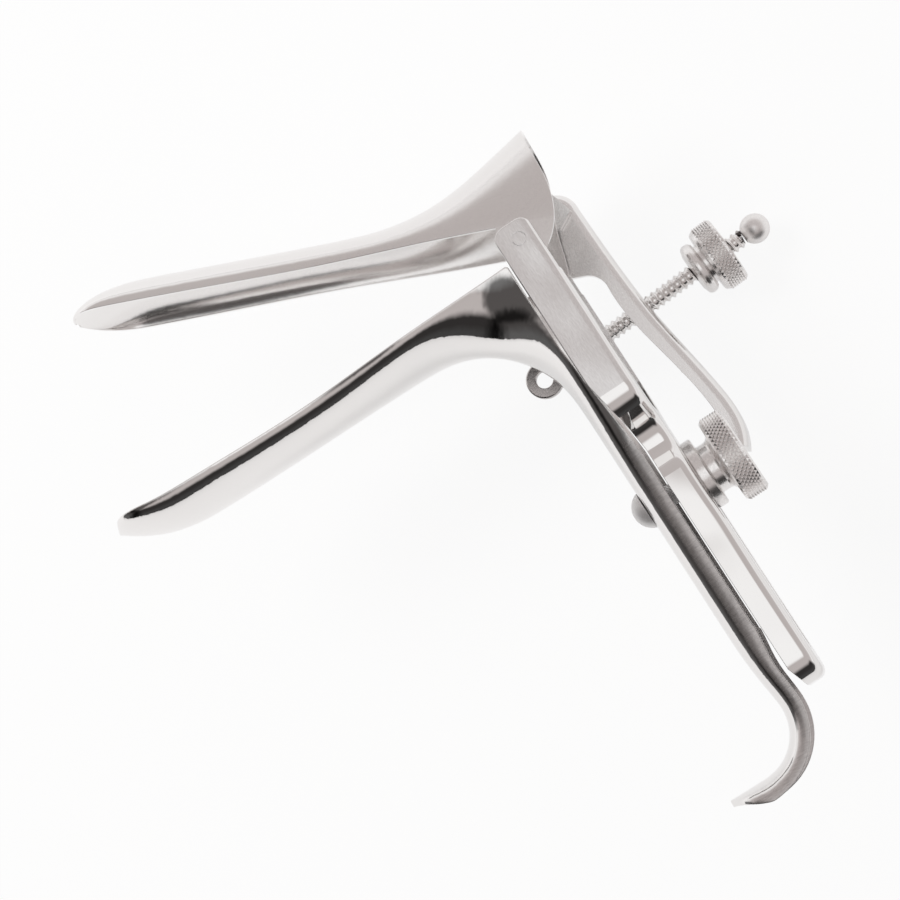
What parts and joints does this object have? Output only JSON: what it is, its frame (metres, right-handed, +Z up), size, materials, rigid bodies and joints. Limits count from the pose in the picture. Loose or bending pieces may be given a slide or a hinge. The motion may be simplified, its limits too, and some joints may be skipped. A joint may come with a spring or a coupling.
{
  "type": "bivalve speculum",
  "caption": "Hinged bivalve speculum: two trough blades on a forked sliding yoke, opened by a thumb lever and held by knurled nuts.",
  "frame": {"origin": "middle of the bounding box's underside, with the instrument lying on its far side as on a tray", "axes": "+Z up from the tray, +Y up the handle towards the blades, +X back from the blades towards the nuts"},
  "size_m": [0.1664, 0.1888, 0.0693],
  "materials": {
    "upper_blade": "mirror polish outside, satin at the hinge",
    "lower_blade": "mirror polish, with a satin side band down the handle strip and the hook",
    "thumb_lever": "polished",
    "yoke": "polished, satin on the arms' outer faces",
    "near_hinge_pin": "ground flush with the arm",
    "far_hinge_pin": "ground flush with the lever",
    "rod_lug": "satin",
    "threaded_rod": "machined thread, polished eye",
    "ball_end": "polished",
    "lever_nut": "turned, with a knurled rim",
    "lock_stud": "polished domed head",
    "lock_nut": "turned, with a knurled rim"
  },
  "bodies": {
    "lower": {"lower_blade": "lower_blade", "lock_stud": "lock_stud"},
    "yoke": {"yoke": "yoke", "near_hinge_pin": "near_hinge_pin", "far_hinge_pin": "far_hinge_pin", "rod_lug": "rod_lug"},
    "lock_nut": {"lock_nut": "lock_nut"},
    "upper": {"upper_blade": "upper_blade", "thumb_lever": "thumb_lever"},
    "rod": {"threaded_rod": "threaded_rod", "ball_end": "ball_end"},
    "lever_nut": {"lever_nut": "lever_nut"}
  },
  "joints": [
    {"name": "yoke_slide", "type": "slide", "parent": "lower", "child": "yoke", "axis": [0, 0.9932, -0.1167], "range_m": [0, 0.044]},
    {"name": "lock_nut_screw", "type": "slide", "parent": "lower", "child": "lock_nut", "axis": [0.9885, -0.0176, -0.1502], "range_m": [0, 0.003]},
    {"name": "blade_hinge", "type": "hinge", "parent": "yoke", "child": "upper", "pos_m": [0.03616, 0.04163, 0.03766], "axis": [0.1513, 0.1153, 0.9817], "range_deg": [-12, 24]},
    {"name": "rod_tilt", "type": "hinge", "parent": "yoke", "child": "rod", "pos_m": [0.02784, 0.01819, 0.01562], "axis": [0.1513, 0.1153, 0.9817], "range_deg": [-10, 20]},
    {"name": "lever_nut_screw", "type": "slide", "parent": "rod", "child": "lever_nut", "axis": [0.9876, 0.0257, -0.1552], "range_m": [-0.0015, 0.0045]}
  ],
  "couplings": [
    {"joint": "rod_tilt", "follows": "blade_hinge", "ratio": 0.78}
  ]
}
